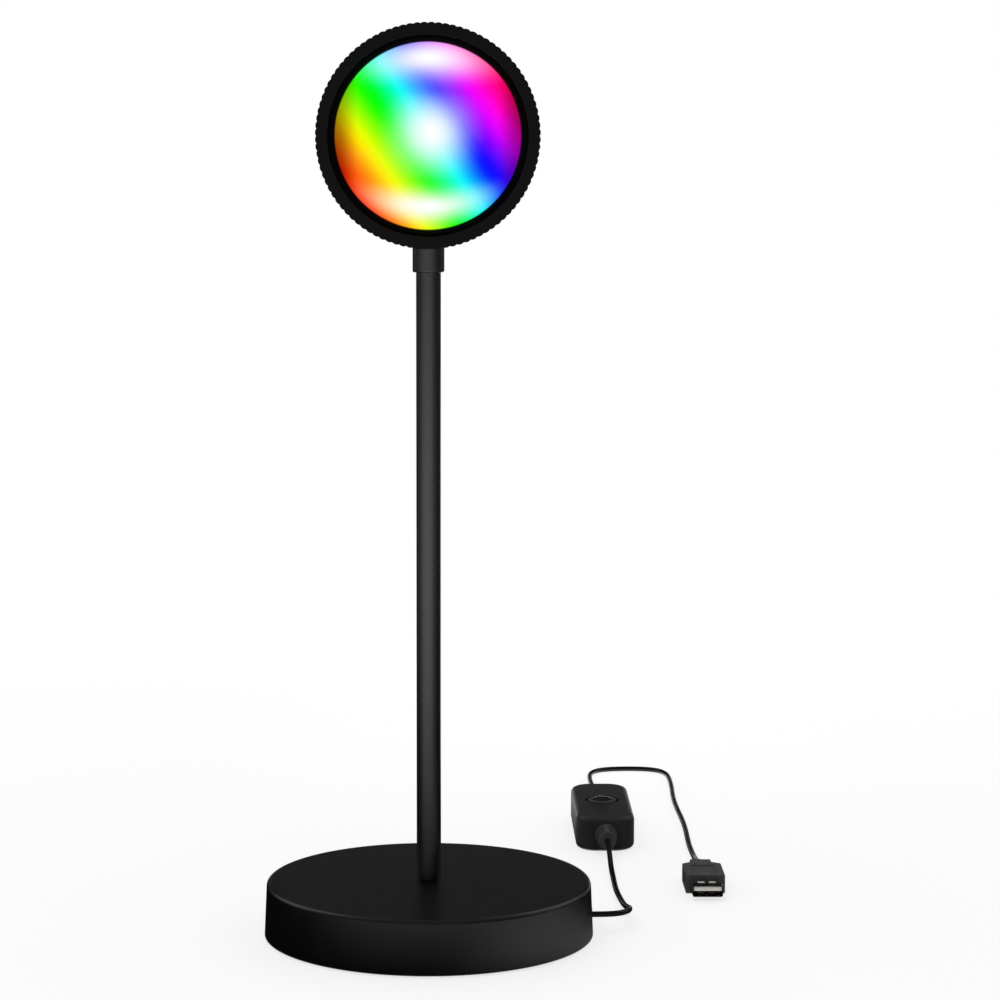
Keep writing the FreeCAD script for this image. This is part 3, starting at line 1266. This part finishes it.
plug_shell = new_body("plug_shell")
shell_sketch = new_sketch(plug_shell, "XZ_Plane")
for inset, corner in (("0", "0.7"), ("shell_wall", "0.7 - shell_wall")):
    across, up = f"(shell_wide/2 - {inset})", f"(shell_high/2 - {inset})"
    add_loop(shell_sketch, [
        ("-" + across, "-" + up, corner), (across, "-" + up, corner),
        (across, up, corner), ("-" + across, up, corner),
    ])
pad(plug_shell, shell_sketch, "shell_long")
window_sketch = new_sketch(plug_shell, "XY_Plane")
for side in ("", "-"):
    low, high = "-window_front - window_long/2", "-window_front + window_long/2"
    near, far = f"{side}(window_out - window_wide/2)", f"{side}(window_out + window_wide/2)"
    add_loop(window_sketch, [(near, low), (far, low), (far, high), (near, high)])
pocket(plug_shell, window_sketch, "2*shell_high", both_sides=True)
at_plug(plug_shell, "plug_shell")

TONGUE_TOP = "shell_high/2 - shell_wall - tongue_gap"
TONGUE_LOW = f"{TONGUE_TOP} - tongue_thick"
tongue = new_body("plug_tongue")
tongue_sketch = new_sketch(tongue, "XY_Plane", up=TONGUE_LOW)
TONGUE_HALF = "(shell_wide/2 - shell_wall - tongue_gap)"
TONGUE_CORNER = "0.6"
add_loop(tongue_sketch, [
    ("-" + TONGUE_HALF, "-tongue_long", TONGUE_CORNER), (TONGUE_HALF, "-tongue_long", TONGUE_CORNER),
    (TONGUE_HALF, "0"), ("-" + TONGUE_HALF, "0"),
])
tongue_pad = pad(tongue, tongue_sketch, "tongue_thick")
tongue_top = number(TONGUE_TOP)
side_edge = number(f"{TONGUE_HALF}")
rounded(
    tongue, tongue_pad,
    lambda point: point.z > tongue_top - 1e-6 and abs(point.x) > side_edge - 1e-6, "0.5",
)
at_plug(tongue, "plug_tongue")

contact = new_body("plug_contact")
contact_sketch = new_sketch(contact, "XY_Plane")
add_loop(contact_sketch, [
    ("-contact_wide/2", "-contact_long"), ("contact_wide/2", "-contact_long"),
    ("contact_wide/2", "0"), ("-contact_wide/2", "0"),
])
pad(contact, contact_sketch, "contact_thick")
copies("plug_contacts", contact, [
    Placement(
        Vector(
            number(f"plug_x + {index}*contact_pitch"),
            number("plug_y - (tongue_long - contact_long)/2"),
            number(f"plug_thick/2 + {TONGUE_LOW} - contact_thick"),
        ),
        Rotation(),
    )
    for index in (-1.5, -0.5, 0.5, 1.5)
])

plug_relief = new_body("plug_relief")
turn(
    plug_relief,
    ("0", "0"), ("plug_relief_large", "0"), ("plug_relief_small", "plug_relief_long", "0.3"),
    ("0", "plug_relief_long"),
)
DIMPLE_ROWS = ("1.6", "3.4")
relief_dimple_sketch = new_sketch(plug_relief, "XZ_Plane", up="plug_relief_large + 0.5")
for row in DIMPLE_ROWS:
    for side in ("1.6", "-1.6"):
        add_circle(relief_dimple_sketch, side, row, "dimple_radius")
pocket(plug_relief, relief_dimple_sketch, "1.7")
node(
    placed(plug_relief, across="plug_x", back=f"plug_y + {MOULD_BACK}", up="plug_thick/2", turn=FACING_BACK),
    "plug_relief",
)

# ---------------------------------------------------------------- cords
RUN_SHARE = 0.45


def rounded_route(points, largest):
    """Straight runs joined by tangent arcs, as large as the shorter run beside each point allows."""
    points = [Vector(*point) for point in points]
    edges = []
    radii = []
    start = points[0]
    for before, corner, after in zip(points, points[1:], points[2:]):
        arriving, leaving = corner - before, after - corner
        bend = arriving.getAngle(leaving)
        cut = min(RUN_SHARE * min(arriving.Length, leaving.Length), largest * math.tan(bend / 2))
        radii.append(cut / math.tan(bend / 2))
        arriving.normalize()
        leaving.normalize()
        entry, exit_point = corner - arriving * cut, corner + leaving * cut
        inward = leaving - arriving
        inward.normalize()
        rise = radii[-1] * (1 / math.cos(bend / 2) - 1)
        edges.append(Part.LineSegment(start, entry).toShape())
        edges.append(Part.Arc(entry, corner + inward * rise, exit_point).toShape())
        start = exit_point
    edges.append(Part.LineSegment(start, points[-1]).toShape())
    return Part.Wire(edges), radii


def cord_tube(label, points, largest=math.inf):
    """A round cord along a route; prints its length, radii and how well its volume fits."""
    radius = number("cord_radius")
    path, radii = rounded_route(points, largest)
    first = Vector(*points[0])
    along = Vector(*points[1]) - first
    section = Part.Wire(Part.Circle(first, along, radius).toShape())
    solid = path.makePipeShell([section], True, False)
    thing = doc.addObject("Part::Feature", label + "_tube")
    thing.Shape = solid
    ratio = solid.Volume / (math.pi * radius ** 2 * path.Length)
    print(
        f"{label}: length {path.Length:.1f}, volume ratio {ratio:.4f}, radii",
        " ".join(f"{value:.1f}" for value in radii),
    )
    return node(thing, label)


exit_x, exit_z = number(WALL_OUT), number("cord_exit_up")
low_z = number(LEAD_LOW)
clamp_x = number("clamp_from_axis")
cord_tube("inner_lead", [
    (exit_x, 0, exit_z),
    (exit_x - 6.0, 0, exit_z),
    (clamp_x + 5.5, 0, low_z),
    (0, 0, low_z),
    (0, 0, number("spigot_top") - 1.6),
], largest=4.8)

switch_x, middle_z = number("switch_x"), number(MIDDLE)
switch_front = number("switch_y - switch_long/2 - relief_long")
switch_back = number("switch_y + switch_long/2 + relief_long")
floor_z = number("cord_radius") + 0.05
cord_tube("cord_to_switch", [
    (exit_x, 0, exit_z),
    (exit_x + 6.0, 0, exit_z),
    (exit_x + 11.2, 3.0, 7.0),
    (exit_x + 14.2, 8.3, 5.8),
    (75.9, 19.5, 2.6),
    (75.4, 33.0, floor_z),
    (73.2, 58.0, floor_z),
    (74.3, 82.0, floor_z),
    (74.2, 96.0, 2.3),
    (74.1, 104.5, 5.6),
    (switch_x, switch_front - 7.5, middle_z),
    (switch_x, switch_front, middle_z),
])

plug_x, plug_z = number("plug_x"), number("plug_thick/2")
plug_end = number(f"plug_y + {MOULD_BACK} + plug_relief_long")
cord_tube("cord_to_plug", [
    (switch_x, switch_back, middle_z),
    (switch_x, switch_back + 7.5, middle_z),
    (74.1, 229.5, 5.6),
    (74.2, 238.0, 2.3),
    (74.6, 252.0, floor_z),
    (73.5, 274.0, floor_z),
    (74.6, 289.0, floor_z),
    (82.2, 297.0, floor_z),
    (102.0, 297.6, floor_z),
    (110.6, 289.5, floor_z),
    (111.3, 266.0, floor_z),
    (109.4, 226.0, floor_z),
    (110.9, 180.0, floor_z),
    (109.6, 140.0, floor_z),
    (110.1, 117.0, 1.3),
    (110.05, 107.0, 2.7),
    (plug_x, plug_end + 6.5, plug_z),
    (plug_x, plug_end, plug_z),
])

barrel_low = number(f"head_up - ({BARREL_BORE})")
head_lead = doc.addObject("Part::Cylinder", "head_lead_tube")
head_lead.setExpression("Radius", bound("cord_radius"))
head_lead.setExpression("Height", bound(f"head_up - ({BARREL_BORE}) - spigot_top + 1.6"))
node(placed(head_lead, up="spigot_top - 1.6"), "head_lead")
lead_back = number("board_back - cord_radius - slip_gap")
cord_tube("led_lead", [
    (0, 0, barrel_low),
    (0, 0, barrel_low + 5.0),
    (0, lead_back, barrel_low + 11.5),
    (0, lead_back, number("head_up") - 9.6),
])

# ---------------------------------------------------------------- checks and export
doc.recompute()
for item in doc.Objects:
    if "Invalid" in item.State or "Error" in item.State:
        raise RuntimeError(f"{item.Name} failed: {item.State}")
    if item.isDerivedFrom("PartDesign::Pocket") or item.isDerivedFrom("PartDesign::Groove"):
        if item.Shape.Volume > item.BaseFeature.Shape.Volume - 1e-4:
            raise RuntimeError(f"{item.Name} cuts nothing")
for thing in nodes:
    if thing.Shape.isNull() or not thing.Shape.isValid() or not thing.Shape.Solids:
        raise RuntimeError(f"{thing.Label} has no valid solid")
    box = thing.Shape.BoundBox
    print(
        f"{thing.Label:20s} solids {len(thing.Shape.Solids)} volume {thing.Shape.Volume:10.1f}"
        f"  X {box.XMin:.1f} {box.XMax:.1f}  Y {box.YMin:.1f} {box.YMax:.1f}  Z {box.ZMin:.1f} {box.ZMax:.1f}"
    )
    thing.Shape.exportStep(f"parts/{thing.Label}.step")
print(len(nodes), "nodes")
